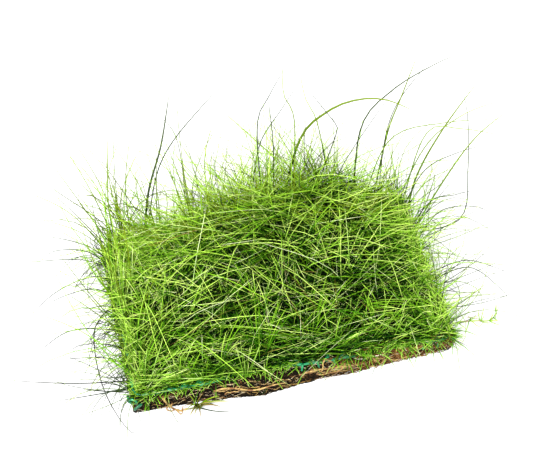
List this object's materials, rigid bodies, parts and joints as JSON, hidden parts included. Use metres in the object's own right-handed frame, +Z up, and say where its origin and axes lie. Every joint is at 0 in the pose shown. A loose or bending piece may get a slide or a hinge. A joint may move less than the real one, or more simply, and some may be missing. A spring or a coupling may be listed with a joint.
{
  "type": "dwarf hairgrass mat",
  "caption": "Mat of dwarf hairgrass grown through a rectangular plastic carrier net, with matted roots below; lies flat as foreground planting.",
  "frame": {"origin": "middle of the root mat's flat underside, on the surface that the mat lies on", "axes": "+Z up, +X along the mat's long edge to the right as seen from the front, -Y towards the front edge where the roots and runners show"},
  "size_m": [0.223, 0.1255, 0.058],
  "materials": {
    "roots": "matte",
    "net": "satin",
    "grass": "satin",
    "long_grass": "satin",
    "runner": "satin",
    "young_runner": "satin"
  },
  "bodies": {
    "root": {"root_mat": "roots", "carrier_net": "net", "tuft_01": "grass", "tuft_02": "grass", "tuft_03": "grass", "tuft_04": "grass", "tuft_05": "grass", "tuft_06": "grass", "tuft_07": "grass", "tuft_08": "grass", "tuft_09": "grass", "tuft_10": "grass", "tuft_11": "grass", "tuft_12": "grass", "tuft_13": "grass", "tuft_14": "grass", "tuft_15": "grass", "tuft_16": "grass", "tuft_17": "grass", "tuft_18": "grass", "tuft_19": "grass", "tuft_20": "grass", "tuft_21": "grass", "tuft_22": "grass", "tuft_23": "grass", "tuft_24": "grass", "tuft_25": "grass", "tuft_26": "grass", "tuft_27": "grass", "tuft_28": "grass", "tuft_29": "grass", "tuft_30": "grass", "tuft_31": "grass", "tuft_32": "grass", "tuft_33": "grass", "tuft_34": "grass", "tuft_35": "grass", "tuft_36": "grass", "tuft_37": "grass", "tuft_38": "grass", "tuft_39": "grass", "tuft_40": "grass", "tuft_41": "grass", "tuft_42": "grass", "tuft_43": "grass", "tuft_44": "grass", "long_blade_1": "long_grass", "long_blade_2": "long_grass", "long_blade_3": "long_grass", "long_blade_4": "long_grass", "long_blade_5": "long_grass", "long_blade_6": "long_grass", "long_blade_7": "long_grass", "long_blade_8": "long_grass", "long_blade_9": "long_grass", "front_runner_left": "runner", "front_runner_right": "runner", "loose_runner": "runner", "side_runner": "young_runner", "loose_plantlet": "grass"}
  },
  "joints": []
}
